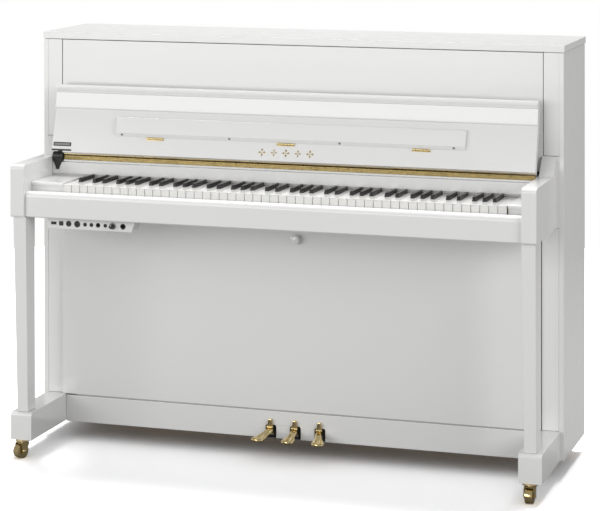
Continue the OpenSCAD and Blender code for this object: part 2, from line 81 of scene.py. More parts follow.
class PianoFinish(bpy.types.PropertyGroup):
    """Colours of the piano's finishes"""
    polish: FloatVectorProperty(name="Polish", description="White polyester of the case",
                                subtype="COLOR", default=(0.80, 0.80, 0.79), min=0, max=1)
    ivory: FloatVectorProperty(name="Key tops", description="Resin of the white keys",
                               subtype="COLOR", default=(0.83, 0.825, 0.80), min=0, max=1)
    ebony: FloatVectorProperty(name="Sharps", description="Resin of the black keys",
                               subtype="COLOR", default=(0.012, 0.011, 0.012), min=0, max=1)
    brass: FloatVectorProperty(name="Brass", description="Polished hinges, pedals and casters",
                               subtype="COLOR", default=(0.80, 0.64, 0.33), min=0, max=1)
    plastic: FloatVectorProperty(name="Black plastic", description="Sockets, damper and buttons",
                                 subtype="COLOR", default=(0.018, 0.018, 0.018), min=0, max=1)
    gold_iron: FloatVectorProperty(name="Iron plate", description="Gold paint of the iron plate",
                                   subtype="COLOR", default=(0.47, 0.33, 0.11), min=0, max=1)


class PianoDetail(bpy.types.PropertyGroup):
    """Sizes of the small work"""
    edge: FloatProperty(name="Case edge", description="Radius on the polished edges",
                        default=1.6 * MM, min=0.2 * MM, max=4 * MM, unit="LENGTH")
    key_gap: FloatProperty(name="Key gap", description="Gap between neighbouring key tops",
                           default=0.8 * MM, min=0.5 * MM, max=2 * MM, unit="LENGTH")
    key_top: FloatProperty(name="Key top", description="Thickness of a white key's top",
                           default=2.4 * MM, min=1.5 * MM, max=4 * MM, unit="LENGTH")
    key_lip: FloatProperty(name="Key lip", description="How far a key top stands over its front",
                           default=1.8 * MM, min=0.5 * MM, max=3 * MM, unit="LENGTH")
    knuckle: FloatProperty(name="Hinge knuckle", description="Length of one hinge knuckle",
                           default=32 * MM, min=15 * MM, max=60 * MM, unit="LENGTH")
    screw: FloatProperty(name="Screw head", description="Radius of the hinge screws",
                         default=2.3 * MM, min=1 * MM, max=4 * MM, unit="LENGTH")


class PianoStudio(bpy.types.PropertyGroup):
    """Camera and lights"""
    azimuth: FloatProperty(name="Azimuth", description="Angle of the camera to the treble side",
                           default=math.radians(17.651), subtype="ANGLE")
    tilt: FloatProperty(name="Tilt", description="Angle of the camera below level",
                        default=math.radians(10.243), subtype="ANGLE")
    lens: FloatProperty(name="Lens", description="Focal length in millimetres", default=137.7, min=20)
    camera_at: FloatVectorProperty(name="Camera", description="Where the camera stands",
                                   default=(1.8817, -5.8848, 1.6604), subtype="TRANSLATION")
    room: FloatProperty(name="Room light", description="Strength of the white room", default=0.36, min=0)
    overhead: FloatProperty(name="Overhead", description="Power of the ceiling softbox in watts",
                            default=215.0, min=0)
    front: FloatProperty(name="Front", description="Power of the front softbox in watts",
                         default=196.0, min=0)
    side: FloatProperty(name="Side", description="Power of the treble-side softbox in watts",
                        default=120.0, min=0)
    floor: FloatProperty(name="Floor", description="How much light the floor gives back",
                         default=0.42, min=0, max=1)


# ---------------------------------------------------------------- node groups

def make_group(name, **amounts):
    """A shader group from coordinates, a colour and some amounts to a colour, roughness and height."""
    group = bpy.data.node_groups.new(name, "ShaderNodeTree")
    inputs = [("Vector", "NodeSocketVector", (0, 0, 0)), ("Color", "NodeSocketColor", (1, 1, 1, 1))]
    inputs += [(label.replace("_", " "), "NodeSocketFloat", value) for label, value in amounts.items()]
    for label, kind, value in inputs:
        sock = group.interface.new_socket(name=label, in_out="INPUT", socket_type=kind)
        sock.default_value = value
    for label, kind in (("Color", "NodeSocketColor"), ("Roughness", "NodeSocketFloat"),
                        ("Height", "NodeSocketFloat")):
        group.interface.new_socket(name=label, in_out="OUTPUT", socket_type=kind)
    return group, group.nodes.new("NodeGroupInput"), group.nodes.new("NodeGroupOutput")


def noise(tree, coords, scale, detail=3.0, rough=0.5, stretch=None):
    """A noise texture on the given coordinates, stretched along them where asked."""
    link = tree.links.new
    tex = tree.nodes.new("ShaderNodeTexNoise")
    tex.inputs["Detail"].default_value = detail
    tex.inputs["Roughness"].default_value = rough
    if stretch:
        fit = tree.nodes.new("ShaderNodeMapping")
        fit.inputs["Scale"].default_value = stretch
        link(coords, fit.inputs["Vector"])
        coords = fit.outputs["Vector"]
    link(coords, tex.inputs["Vector"])
    if isinstance(scale, (int, float)):
        tex.inputs["Scale"].default_value = scale
    else:
        link(scale, tex.inputs["Scale"])
    return tex.outputs["Fac"]


def ranged(tree, value, low, high):
    """Maps 0.3..0.7 of a noise to low..high."""
    node = tree.nodes.new("ShaderNodeMapRange")
    node.inputs["From Min"].default_value = 0.3
    node.inputs["From Max"].default_value = 0.7
    node.inputs["To Min"].default_value = low
    node.inputs["To Max"].default_value = high
    tree.links.new(value, node.inputs["Value"])
    return node.outputs["Result"]


def tinted(tree, color, factor):
    """Multiplies a colour by a grey factor."""
    mix = tree.nodes.new("ShaderNodeMix")
    mix.data_type = "RGBA"
    mix.blend_type = "MULTIPLY"
    mix.inputs["Factor"].default_value = 1.0
    grey = tree.nodes.new("ShaderNodeCombineColor")
    for i in range(3):
        tree.links.new(factor, grey.inputs[i])
    tree.links.new(color, mix.inputs[6])
    tree.links.new(grey.outputs["Color"], mix.inputs[7])
    return mix.outputs[2]


def math_node(tree, how, a, b):
    node = tree.nodes.new("ShaderNodeMath")
    node.operation = how
    for i, v in enumerate((a, b)):
        if isinstance(v, (int, float)):
            node.inputs[i].default_value = v
        else:
            tree.links.new(v, node.inputs[i])
    return node.outputs["Value"]


def clouded(group, gin, amount, cloud):
    """The group's colour, darkened by up to the given amount where the cloud is thin."""
    low = math_node(group, "SUBTRACT", 1.0, gin.outputs[amount])
    shade = math_node(group, "ADD", low, math_node(group, "MULTIPLY", cloud, gin.outputs[amount]))
    return tinted(group, gin.outputs["Color"], shade)


def film_group():
    """A sprayed and buffed film: a very soft orange peel, faint clouding and buffing haze."""
    group, gin, gout = make_group("polished_film", Clouding=0.02, Haze=0.2, Peel_Scale=160.0)
    at = gin.outputs["Vector"]
    group.links.new(clouded(group, gin, "Clouding", noise(group, at, 3.2, 2.0)), gout.inputs["Color"])
    rub = ranged(group, noise(group, at, 26.0, 4.0), 0.92, 1.1)
    group.links.new(math_node(group, "MULTIPLY", rub, gin.outputs["Haze"]), gout.inputs["Roughness"])
    group.links.new(noise(group, at, gin.outputs["Peel Scale"], 1.5), gout.inputs["Height"])
    return group


def metal_group():
    """Worked metal: polishing lines along X, tarnish clouds and fine pits."""
    group, gin, gout = make_group("worked_metal", Tarnish=0.12, Polish=0.2)
    at = gin.outputs["Vector"]
    cloud = noise(group, at, 38.0, 4.0, 0.6)
    lines = noise(group, at, 300.0, 3.0, 0.6, (0.12, 1.0, 1.0))
    group.links.new(clouded(group, gin, "Tarnish", cloud), gout.inputs["Color"])
    both = math_node(group, "ADD", ranged(group, lines, 0.75, 1.1), ranged(group, cloud, -0.05, 0.3))
    group.links.new(math_node(group, "MULTIPLY", both, gin.outputs["Polish"]), gout.inputs["Roughness"])
    group.links.new(lines, gout.inputs["Height"])
    return group


def grain_group():
    """Planed timber: growth rings stretched along the grain, pores and pale flecks."""
    group, gin, gout = make_group("timber_grain", Contrast=0.3, Finish=0.5)
    at = gin.outputs["Vector"]
    rings = noise(group, at, 9.0, 6.0, 0.62, (6.0, 6.0, 0.6))
    pores = noise(group, at, 60.0, 5.0, 0.7, (9.0, 9.0, 0.5))
    mixed = math_node(group, "ADD", math_node(group, "MULTIPLY", rings, 0.7),
                      math_node(group, "MULTIPLY", pores, 0.3))
    depth = math_node(group, "MULTIPLY", ranged(group, mixed, 1.0, 0.0), gin.outputs["Contrast"])
    shade = math_node(group, "SUBTRACT", 1.0, depth)
    group.links.new(tinted(group, gin.outputs["Color"], shade), gout.inputs["Color"])
    group.links.new(math_node(group, "MULTIPLY", ranged(group, pores, 0.85, 1.2),
                              gin.outputs["Finish"]), gout.inputs["Roughness"])
    group.links.new(mixed, gout.inputs["Height"])
    return group


def felt_group():
    """Pressed wool: short fibres and uneven dye."""
    group, gin, gout = make_group("pressed_felt", Fleck=0.25)
    at = gin.outputs["Vector"]
    fibre = noise(group, at, 900.0, 4.0, 0.7)
    cloud = noise(group, at, 60.0, 3.0)
    group.links.new(clouded(group, gin, "Fleck", math_node(group, "ADD", fibre, cloud)),
                    gout.inputs["Color"])
    group.links.new(ranged(group, cloud, 0.85, 1.0), gout.inputs["Roughness"])
    group.links.new(fibre, gout.inputs["Height"])
    return group


GROUPS = {}
MATS = {}


def effect(name):
    """The shared group of that name, built the first time it is asked for."""
    makers = {"film": film_group, "metal": metal_group, "grain": grain_group, "felt": felt_group}
    if name not in GROUPS:
        GROUPS[name] = makers[name]()
    return GROUPS[name]


def finish_of(name, kind, color, bump, reach, values=None, shader=None, turn=None):
    """A material: one effect group into a Principled shader, with its own constants on the shader."""
    mat = bpy.data.materials.new(name)
    mat.use_nodes = True
    tree = mat.node_tree
    bsdf = tree.nodes["Principled BSDF"]
    where = tree.nodes.new("ShaderNodeTexCoord").outputs["Object"]
    if turn:
        fit = tree.nodes.new("ShaderNodeMapping")
        fit.inputs["Rotation"].default_value = turn
        tree.links.new(where, fit.inputs["Vector"])
        where = fit.outputs["Vector"]
    fx = tree.nodes.new("ShaderNodeGroup")
    fx.node_tree = effect(kind)
    fx.inputs["Color"].default_value = (*color[:3], 1)
    for key, value in (values or {}).items():
        fx.inputs[key].default_value = value
    tree.links.new(where, fx.inputs["Vector"])
    tree.links.new(fx.outputs["Color"], bsdf.inputs["Base Color"])
    tree.links.new(fx.outputs["Roughness"], bsdf.inputs["Roughness"])
    relief = tree.nodes.new("ShaderNodeBump")
    relief.inputs["Strength"].default_value = bump
    relief.inputs["Distance"].default_value = reach
    tree.links.new(fx.outputs["Height"], relief.inputs["Height"])
    tree.links.new(relief.outputs["Normal"], bsdf.inputs["Normal"])
    for key, value in (shader or {}).items():
        bsdf.inputs[key].default_value = value
    MATS[name] = mat
    return mat


def make_finishes():
    """Every finish of the piano, by the record's slot name where it has one."""
    f = bpy.context.scene.piano_finish
    gloss = {"Coat Weight": 0.35, "Coat Roughness": 0.04, "IOR": 1.5}
    finish_of("white_polish", "film", f.polish, 0.006, 0.2 * MM,
              {"Clouding": 0.008, "Haze": 0.20, "Peel Scale": 150.0}, gloss)
    finish_of("key_white", "film", f.ivory, 0.02, 0.1 * MM,
              {"Clouding": 0.04, "Haze": 0.17, "Peel Scale": 420.0}, {"Coat Weight": 0.2, "IOR": 1.49})
    finish_of("key_black", "film", f.ebony, 0.05, 0.1 * MM,
              {"Clouding": 0.3, "Haze": 0.30, "Peel Scale": 900.0}, {"IOR": 1.46})
    finish_of("box_white", "film", (0.74, 0.74, 0.725), 0.10, 0.08 * MM,
              {"Clouding": 0.03, "Haze": 0.42, "Peel Scale": 1400.0})
    finish_of("black_plastic", "film", f.plastic, 0.12, 0.1 * MM,
              {"Clouding": 0.25, "Haze": 0.42, "Peel Scale": 1500.0})
    finish_of("grey_plastic", "film", (0.22, 0.22, 0.22), 0.1, 0.1 * MM,
              {"Clouding": 0.1, "Haze": 0.4, "Peel Scale": 1500.0})
    finish_of("clear_knob", "film", (0.84, 0.84, 0.83), 0.01, 0.05 * MM,
              {"Clouding": 0.05, "Haze": 0.08, "Peel Scale": 200.0},
              {"Coat Weight": 0.8, "Coat Roughness": 0.02})
    finish_of("brass", "metal", f.brass, 0.03, 0.05 * MM, {"Tarnish": 0.22, "Polish": 0.14},
              {"Metallic": 1.0})
    # hinge_brass_dark_reflection: brass made less orange, then darkened as a painted dark reflection; the
    # fallboard hinge and inlay take it
    finish_of("hinge_brass_dark_reflection", "metal", (0.38, 0.29, 0.125), 0.03, 0.05 * MM,
              {"Tarnish": 0.25, "Polish": 0.26}, {"Metallic": 1.0})
    # brass_shade: the brass darkened to a third, painted shade for the screw slots and the pedals' sunk panels
    painted_shade_brass = tuple(c * 0.34 for c in f.brass)
    finish_of("brass_shade", "metal", painted_shade_brass, 0.06, 0.05 * MM, {"Tarnish": 0.35, "Polish": 0.42},
              {"Metallic": 0.9})
    finish_of("silver_alloy", "metal", (0.62, 0.62, 0.62), 0.08, 0.1 * MM,
              {"Tarnish": 0.2, "Polish": 0.42}, {"Metallic": 1.0})
    finish_of("string_steel", "metal", (0.62, 0.61, 0.58), 0.05, 0.05 * MM,
              {"Tarnish": 0.2, "Polish": 0.3}, {"Metallic": 1.0})
    finish_of("dark_steel", "metal", (0.045, 0.045, 0.048), 0.1, 0.1 * MM,
              {"Tarnish": 0.3, "Polish": 0.5}, {"Metallic": 0.5})
    finish_of("wheel_black", "metal", (0.04, 0.04, 0.042), 0.12, 0.15 * MM,
              {"Tarnish": 0.3, "Polish": 0.6}, {"Metallic": 0.4})
    finish_of("gold_iron", "metal", f.gold_iron, 0.25, 0.4 * MM,
              {"Tarnish": 0.2, "Polish": 0.45}, {"Metallic": 0.75})
    finish_of("raw_wood", "grain", (0.56, 0.38, 0.20), 0.15, 0.3 * MM, {"Contrast": 0.38, "Finish": 0.55})
    finish_of("bed_wood", "grain", (0.56, 0.40, 0.22), 0.15, 0.3 * MM,
              {"Contrast": 0.35, "Finish": 0.55}, None, (0, math.radians(90), 0))
    finish_of("key_stick", "grain", (0.66, 0.52, 0.33), 0.12, 0.2 * MM,
              {"Contrast": 0.3, "Finish": 0.55}, None, (math.radians(90), 0, 0))
    finish_of("spruce", "grain", (0.68, 0.49, 0.25), 0.08, 0.2 * MM, {"Contrast": 0.32, "Finish": 0.32},
              {"Coat Weight": 0.3, "Coat Roughness": 0.15}, (0, math.radians(-42), 0))
    finish_of("hammer_rail_wood", "grain", (0.30, 0.15, 0.07), 0.12, 0.2 * MM,
              {"Contrast": 0.35, "Finish": 0.4}, None, (0, math.radians(90), 0))
    wool = {"Sheen Weight": 0.4, "Sheen Roughness": 0.6}
    finish_of("hammer_felt", "felt", (0.74, 0.70, 0.60), 0.5, 0.3 * MM, {"Fleck": 0.2}, wool)
    finish_of("mute_felt", "felt", (0.10, 0.22, 0.14), 0.5, 0.3 * MM, {"Fleck": 0.3}, wool)
    finish_of("black_felt", "felt", (0.008, 0.008, 0.008), 0.4, 0.3 * MM, {"Fleck": 0.3})
    finish_of("pale_felt", "felt", (0.62, 0.61, 0.59), 0.4, 0.3 * MM, {"Fleck": 0.1}, wool)


# ---------------------------------------------------------------- mesh kit

def skin(rings, capped=True):
    """A mesh over rings of equal length, each joined to the next."""
    part = bmesh.new()
    rows = [[part.verts.new(p) for p in ring] for ring in rings]
    if not capped:
        rows.append(rows[0])
    for a, b in zip(rows, rows[1:]):
        for i in range(len(a)):
            j = (i + 1) % len(a)
            part.faces.new((a[i], a[j], b[j], b[i]))
    if capped:
        part.faces.new(rows[0][::-1])
        part.faces.new(rows[-1])
    return part


class Kit:
    """Collects solids into one mesh. Points are given in a local frame that `at` places."""

    def __init__(self, at=None):
        self.bm = bmesh.new()
        self.at = at or Matrix.Identity(4)

    def take(self, part, mat, edge=0.0, steps=2, sharp=30.0):
        """Rounds a finished solid's sharp edges, gives it a material slot and adds it."""
        bmesh.ops.recalc_face_normals(part, faces=part.faces)
        if edge > 0:
            worn = [e for e in part.edges if e.is_manifold and e.calc_face_angle(0) > math.radians(sharp)]
            bmesh.ops.bevel(part, geom=worn, offset=edge, segments=steps, profile=0.5,
                            affect="EDGES", clamp_overlap=True)
        for face in part.faces:
            face.material_index = mat
            face.smooth = True
        bmesh.ops.transform(part, matrix=self.at, verts=part.verts)
        temp = bpy.data.meshes.new("temp")
        part.to_mesh(temp)
        part.free()
        self.bm.from_mesh(temp)
        bpy.data.meshes.remove(temp)

    def prism(self, outline, w0, w1, mat=0, edge=0.0, steps=2):
        """A flat outline of (u, v) pushed from w0 to w1."""
        self.take(skin([[(u, v, w) for u, v in outline] for w in (w0, w1)]), mat, edge, steps)

    def block(self, lo, hi, mat=0, edge=0.0, steps=2):
        outline = [(lo[0], lo[1]), (hi[0], lo[1]), (hi[0], hi[1]), (lo[0], hi[1])]
        self.prism(outline, lo[2], hi[2], mat, edge, steps)

    def loft(self, rings, mat=0):
        """A closed skin over rings of equal length."""
        self.take(skin(rings), mat)

    def turned(self, profile, centre=(0, 0, 0), mat=0, steps=32, axis="w"):
        """A lathe shape: (radius, along) points turned about the local axis through centre."""
        rings = []
        for r, a in profile:
            ring = []
            for k in range(steps):
                t = 2 * math.pi * k / steps
                u, v = max(r, 1e-5) * math.cos(t), max(r, 1e-5) * math.sin(t)
                local = {"w": (u, v, a), "u": (a, u, v), "v": (v, a, u)}[axis]
                ring.append(Vector(local) + Vector(centre))
            rings.append(ring)
        self.loft(rings, mat)

    def done(self, name, body, mats, replaces=(), even=True):
        """Turns the collected solids into one piece that rides on a body."""
        mesh = bpy.data.meshes.new(name)
        for edge in self.bm.edges:
            edge.smooth = edge.is_manifold and edge.calc_face_angle(0) < math.radians(38)
        self.bm.to_mesh(mesh)
        self.bm.free()
        piece = bpy.data.objects.new(name, mesh)
        bpy.context.scene.collection.objects.link(piece)
        for m in mats:
            mesh.materials.append(MATS[m])
        if even:
            weigh = piece.modifiers.new("even_shading", "WEIGHTED_NORMAL")
            weigh.keep_sharp = True
            weigh.weight = 50
        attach(piece, body)
        if replaces:
            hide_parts(*replaces)
        return piece


def arc(cu, cv, r, a0, a1, n=6):
    """Points round a centre from angle a0 to a1, in degrees."""
    out = []
    for i in range(n + 1):
        t = math.radians(a0 + (a1 - a0) * i / n)
        out.append((cu + r * math.cos(t), cv + r * math.sin(t)))
    return out


def rounded_rect(u0, u1, v0, v1, r, n=4):
    return (arc(u1 - r, v0 + r, r, -90, 0, n) + arc(u1 - r, v1 - r, r, 0, 90, n)
            + arc(u0 + r, v1 - r, r, 90, 180, n) + arc(u0 + r, v0 + r, r, 180, 270, n))


def pivot_of(joint):
    return Vector(JOINTS[joint]["pos_m"])


def board_frame():
    """Local frame of the open fallboard: x, up the board, out toward the player."""
    pivot = pivot_of("fallboard_close")
    s, c = math.sin(BOARD_LEAN), math.cos(BOARD_LEAN)
    basis = Matrix(((1, 0, 0), (0, s, -c), (0, c, s))).to_4x4()
    return Matrix.Translation(pivot) @ basis


def front_frame():
    """Local frame of the front: x, up, out toward the player."""
    return Matrix(((1, 0, 0), (0, 0, -1), (0, 1, 0))).to_4x4()


def back_frame():
    """Local frame of the rear: -x, up, out to the back."""
    return Matrix(((-1, 0, 0), (0, 0, 1), (0, 1, 0))).to_4x4()


def screw(kit, u, v, w, r, mat=0, slot_shade_mat=1, turn=0.4):
    """A countersunk screw head with its slot, standing on the plane w. The slot is a thin bar on the head in a
    darker finish: painted shade, not a cut.
    """
    kit.turned([(r, w), (r, w + 0.25 * MM), (r * 0.8, w + 0.45 * MM), (0, w + 0.5 * MM)], (u, v, 0), mat, 16)
    c, s = math.cos(turn), math.sin(turn)
    a, b = r * 0.82, 0.28 * MM
    outline = [(u + x * c - y * s, v + x * s + y * c) for x, y in ((-a, -b), (a, -b), (a, b), (-a, b))]
    kit.prism(outline, w + 0.3 * MM, w + 0.53 * MM, slot_shade_mat)


def soften(node, width, steps=3, angle=38):
    """Rounds a CAD piece's sharp edges with modifiers, leaving its own mesh alone."""
    obj = NODES[node]
    weld = obj.modifiers.new("weld", "WELD")
    weld.merge_threshold = 1e-5
    bevel = obj.modifiers.new("edge", "BEVEL")
    bevel.width = width
    bevel.segments = steps
    bevel.limit_method = "ANGLE"
    bevel.angle_limit = math.radians(angle)
    bevel.harden_normals = True
    bevel.use_clamp_overlap = True


def coat(node, material):
    """Gives every slot of a CAD piece one finish."""
    obj = NODES[node]
    if not obj.material_slots:
        obj.data.materials.append(MATS[material])
    for s in obj.material_slots:
        s.material = MATS[material]


# ---------------------------------------------------------------- pieces

class PIANO_OT_finishes(bpy.types.Operator):
    """Make the finishes and put them on the case, frame and action"""
    bl_idname = "piano.finishes"
    bl_label = "Case and finishes"

    def execute(self, context):
        make_finishes()
        slots = {s["node"]: s["material_slot"] for s in frame["record"]["subparts"]}
        for node, slot in slots.items():
            coat(node, slot)
        coat("key_frame", "bed_wood")
        coat("bottom_board", "bed_wood")
        edge = context.scene.piano_detail.edge
        for node in WHITE_PARTS:
            soften(node, edge)
        for node in ("back_frame", "soundboard", "iron_plate", "bottom_board"):
            soften(node, 1.5 * MM, 2)
        for node in ("caster_fork_left", "caster_fork_right", "rear_caster_frames"):
            soften(node, 0.6 * MM, 2)
        for node in ("caster_wheel_left", "caster_wheel_right", "rear_wheels"):
            soften(node, 1.8 * MM, 4)
        for node in ("control_box", "hammer_rail", "hammers", "wippens"):
            soften(node, 0.7 * MM, 2)
        return {"FINISHED"}


def key_layout():
    """Left edge, pitch and ends of the keyboard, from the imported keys."""
    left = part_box("keys_a")[0].x - STICK_GAP / 2
    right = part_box("keys_c")[1].x + STICK_GAP / 2
    lo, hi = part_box("keys_c")
    return left, (right - left) / WHITE_COUNT, lo.y, hi.y, lo.z, hi.z


def note_of(n):
    """The note name of key n."""
    return NOTE_NAMES[(n + 9) % 12]


def is_sharp(n):
    return note_of(n).endswith("sharp")


def white_index(n):
    """How many white keys are below key n."""
    return sum(1 for k in range(n) if not is_sharp(k))


def sharp_x(n):
    left, pitch = key_layout()[:2]
    return left + white_index(n) * pitch + SHARP_SHIFT[note_of(n)] * MM


def white_key(kit, n):
    """A wooden stick under a moulded top with a small lip and soft edges."""
    d = bpy.context.scene.piano_detail
    left, pitch, y0, y1, z0, z1 = key_layout()
    x0 = left + white_index(n) * pitch + d.key_gap / 2
    x1 = x0 + pitch - d.key_gap
    yh = y0 + HEAD_LONG
    cut_l = n > 0 and is_sharp(n - 1)
    cut_r = n < KEY_COUNT - 1 and is_sharp(n + 1)
    tl = sharp_x(n - 1) + SHARP_WIDE / 2 + d.key_gap if cut_l else x0
    tr = sharp_x(n + 1) - SHARP_WIDE / 2 - d.key_gap if cut_r else x1

    def plan(front, side, back):
        pts = [(x0 + side, front), (x1 - side, front)]
        if cut_r:
            pts += [(x1 - side, yh), (tr - side, yh)]
        pts += [(tr - side, back), (tl + side, back)]
        if cut_l:
            pts += [(tl + side, yh), (x0 + side, yh)]
        return pts

    kit.prism(plan(y0, 0, y0 + TOP_LONG), z1 - d.key_top, z1, 0, 0.55 * MM, 3)
    kit.prism(plan(y0 + d.key_lip, 0.35 * MM, y0 + 8 * MM), z0, z1 - d.key_top, 0, 0.3 * MM)
    kit.prism(plan(y0 + 8 * MM, 0.6 * MM, y1), z0, z1 - d.key_top, 1, 0.3 * MM)


def black_key(kit, n):
    """A tapered sharp with a sloping nose, on its stick."""
    y1, z0, z1 = key_layout()[3:]
    lo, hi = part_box("keys_c_sharp")
    x = sharp_x(n)
    h = SHARP_WIDE / 2
    top = 0.9 * MM
    base, crest = z1 - 3 * MM, hi.z
    nose, end = lo.y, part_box("name_board")[0].y - 3 * MM

    rings = [[(x - h, y, base), (x + h, y, base), (x + half, y, z), (x - half, y, z)]
             for y, z, half in ((nose, z1 + 0.5 * MM, h), (nose + 3.5 * MM, crest - 1.6 * MM, h - top),
                                (nose + 8 * MM, crest, h - top), (end, crest - 2 * MM, h - top))]
    kit.take(skin(rings), 0, 0.8 * MM, 3, 25)
    kit.block((x - h + 0.4 * MM, nose + 0.5 * MM, z0), (x + h - 0.4 * MM, y1, base), 1, 0.3 * MM)


class PIANO_OT_keys(bpy.types.Operator):
    """Build the 88 keys, grouped by note name as they are hung"""
    bl_idname = "piano.keys"
    bl_label = "Keys"

    def execute(self, context):
        for note in NOTE_NAMES:
            kit = Kit()
            for n in range(KEY_COUNT):
                if note_of(n) == note:
                    build = black_key if is_sharp(n) else white_key
                    build(kit, n)
            top = "key_black" if note.endswith("sharp") else "key_white"
            kit.done("key_set_" + note, "keys_" + note, [top, "key_stick"], ["keys_" + note])
        return {"FINISHED"}


def knuckled_pin(kit, x0, x1, pitch, r, at_uv, steps=20):
    """A row of hinge knuckles along x with fine gaps between them."""
    count = max(1, round((x1 - x0) / pitch))
    step = (x1 - x0) / count
    for k in range(count):
        a, b = x0 + k * step + 0.25 * MM, x0 + (k + 1) * step - 0.25 * MM
        kit.turned([(r * 0.86, a), (r, a + 0.3 * MM), (r, b - 0.3 * MM), (r * 0.86, b)],
                   (0, at_uv[0], at_uv[1]), 0, steps, "u")


class PIANO_OT_fallboard_hinge(bpy.types.Operator):
    """Build the long brass hinge under the fallboard, with knuckles and screws"""
    bl_idname = "piano.fallboard_hinge"
    bl_label = "Fallboard hinge"

    def execute(self, context):
        d = context.scene.piano_detail
        lo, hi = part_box("fall_hinge_fixed")
        pivot = pivot_of("fallboard_close")
        kit = Kit(front_frame())
        face = -lo.y
        kit.prism(rounded_rect(lo.x, hi.x, lo.z, pivot.z - 1 * MM, 0.6 * MM, 2), face - 1.4 * MM, face, 0,
                  0.2 * MM)
        knuckled_pin(kit, lo.x, hi.x, d.knuckle, 2.9 * MM, (pivot.z, -pivot.y))
        pairs = int((hi.x - lo.x) // (2 * d.knuckle))
        for k in range(pairs):
            for side in (-1, 1):
                x = lo.x + (2 * k + 1) * d.knuckle + side * 7 * MM
                screw(kit, x, (lo.z + pivot.z - 2 * MM) / 2, face, d.screw, 0, 1, 0.5 + k * 0.7 + side)
        # the hinge leaf takes the darker hinge brass with its painted dark reflection
        kit.done("fallboard_hinge_rail_leaf", "case", ["hinge_brass_dark_reflection", "brass_shade"], ["fall_hinge_fixed"])
        return {"FINISHED"}


class PIANO_OT_fallboard_trim(bpy.types.Operator):
    """Add the inlay, plate and damper link on the fallboard's inner face"""
    bl_idname = "piano.fallboard_trim"
    bl_label = "Fallboard inlay and plate"

    def execute(self, context):
        face = BOARD_FACE
        kit = Kit(board_frame())
        mid = 30.5 * MM
        thick = 0.35 * MM
        for k in range(-2, 3):
            cx = k * 34 * MM
            wide, tall = (11.5 * MM, 11.5 * MM) if k % 2 == 0 else (9.5 * MM, 10 * MM)
            for turn in range(4):
                # each motif is four slim leaves round a small lozenge
                c, t = math.cos(turn * math.pi / 2), math.sin(turn * math.pi / 2)
                reach = wide if turn % 2 == 0 else tall
                leaf = [(0.22, 0.0), (0.55, 0.27), (1.0, 0.0), (0.55, -0.27)]
                kit.prism([(cx + reach * (u * c - v * t), mid + reach * (u * t + v * c)) for u, v in leaf],
                          face - 0.5 * MM, face + thick, 0, 0.08 * MM)
            kit.prism([(cx, mid - 2 * MM), (cx + 1.7 * MM, mid), (cx, mid + 2 * MM), (cx - 1.7 * MM, mid)],
                      face - 0.5 * MM, face + thick, 0, 0.08 * MM)
        # the inlay takes the darker hinge brass with its painted dark reflection
        kit.done("fallboard_inlay", "fallboard", ["hinge_brass_dark_reflection"], ())
        kit = Kit(board_frame())
        kit.prism(rounded_rect(-680 * MM, -627 * MM, 24 * MM, 35 * MM, 1.2 * MM), face - 0.3 * MM,
                  face + 0.9 * MM, 0, 0.25 * MM)
        kit.prism(rounded_rect(-677 * MM, -630 * MM, 26.5 * MM, 32.5 * MM, 0.6 * MM), face + 0.8 * MM,
                  face + 1.05 * MM, 1)
        kit.done("fallboard_plate", "fallboard", ["black_plastic", "grey_plastic"], ())
        kit = Kit(board_frame())
        kit.prism(rounded_rect(-683 * MM, -625 * MM, 11.2 * MM, 15.7 * MM, 1 * MM, 3), face - 0.3 * MM,
                  face + 1.8 * MM, 0, 0.4 * MM)
        kit.done("damper_link", "fallboard", ["black_plastic"])
        return {"FINISHED"}


class PIANO_OT_shelf_trim(bpy.types.Operator):
    """Add the shelf's rubber buttons and its three small hinges"""
    bl_idname = "piano.shelf_trim"
    bl_label = "Music shelf trim"

    def execute(self, context):
        kit = Kit(board_frame())
        for x in (-477, -163, 150, 464):
            mid_s, mid_e = SHELF_FOOT[0] + 4.6 * MM, SHELF_FOOT[1] + 4.6 * MM
            profile = [(3.4 * MM, 0), (3.4 * MM, 0.8 * MM), (2.6 * MM, 1.5 * MM), (1.0 * MM, 1.8 * MM),
                       (0, 1.85 * MM)]
            rings = []
            for r, a in profile:
                ring = []
                for k in range(20):
                    t = 2 * math.pi * k / 20
                    u, v = max(r, 1e-5) * math.cos(t), max(r, 1e-5) * math.sin(t)
                    ring.append((x * MM + u, mid_s + v * 0.72 - a * 0.68, mid_e + v * 0.68 + a * 0.72))
                rings.append(ring)
            kit.loft(rings, 0)
        kit.done("shelf_buttons", "music_shelf", ["grey_plastic"], ())
        kit = Kit(board_frame())
        pin = pivot_of("music_shelf_fold")
        local = board_frame().inverted() @ pin
        for x in (-380, -2, 375):
            x0, x1 = (x - 25) * MM, (x + 25) * MM
            knuckled_pin(kit, x0, x1, 10 * MM, 2.5 * MM, (local.y, local.z), 18)
            kit.prism(rounded_rect(x0, x1, local.y - 5 * MM, local.y, 0.8 * MM, 3), BOARD_FACE - 0.1 * MM,
                      BOARD_FACE + 1.1 * MM, 0, 0.2 * MM)
            for dx in (-17, 0, 17):
                screw(kit, (x + dx) * MM, local.y - 3.4 * MM, BOARD_FACE + 1.1 * MM, 1.1 * MM, 0, 1, 0.3 * dx)
        kit.done("shelf_hinge_set", "fallboard", ["brass", "brass_shade"], ["shelf_hinges"])
        return {"FINISHED"}


